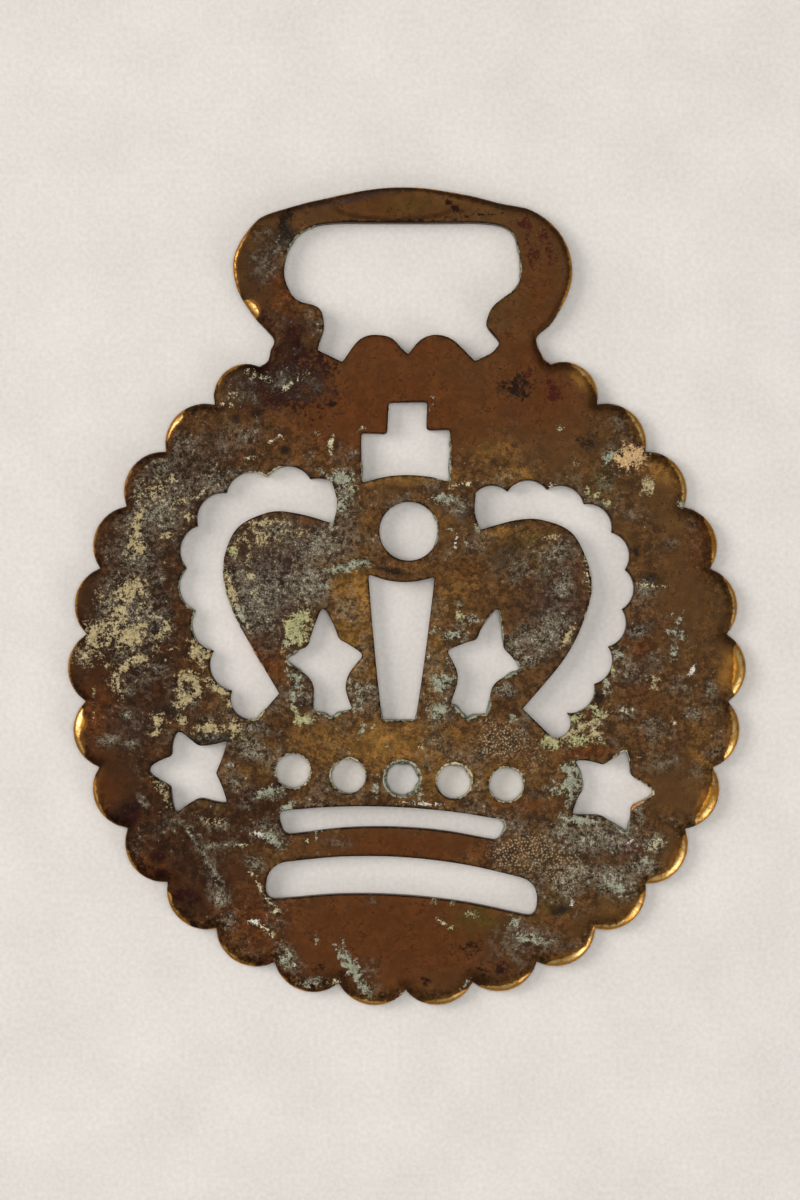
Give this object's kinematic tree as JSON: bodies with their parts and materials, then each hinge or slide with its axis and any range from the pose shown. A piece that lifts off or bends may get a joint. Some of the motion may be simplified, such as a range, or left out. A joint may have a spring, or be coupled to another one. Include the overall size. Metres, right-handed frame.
{
  "type": "horse brass",
  "caption": "Flat cast-brass harness ornament: a scalloped disc pierced with a crown and stars, hung from a strap by a square-shouldered loop.",
  "frame": {"origin": "on the ground plane, under the middle of the piece's bounding box, which lies on its flat back", "axes": "+X to the right of the face, +Y towards the strap loop, +Z out of the face"},
  "size_m": [0.0762, 0.0918, 0.0022],
  "materials": {
    "aged_brass": "dark brown patina with grey-green deposits and worn golden edges"
  },
  "bodies": {
    "root": {"horse_brass": "aged_brass"}
  },
  "joints": []
}
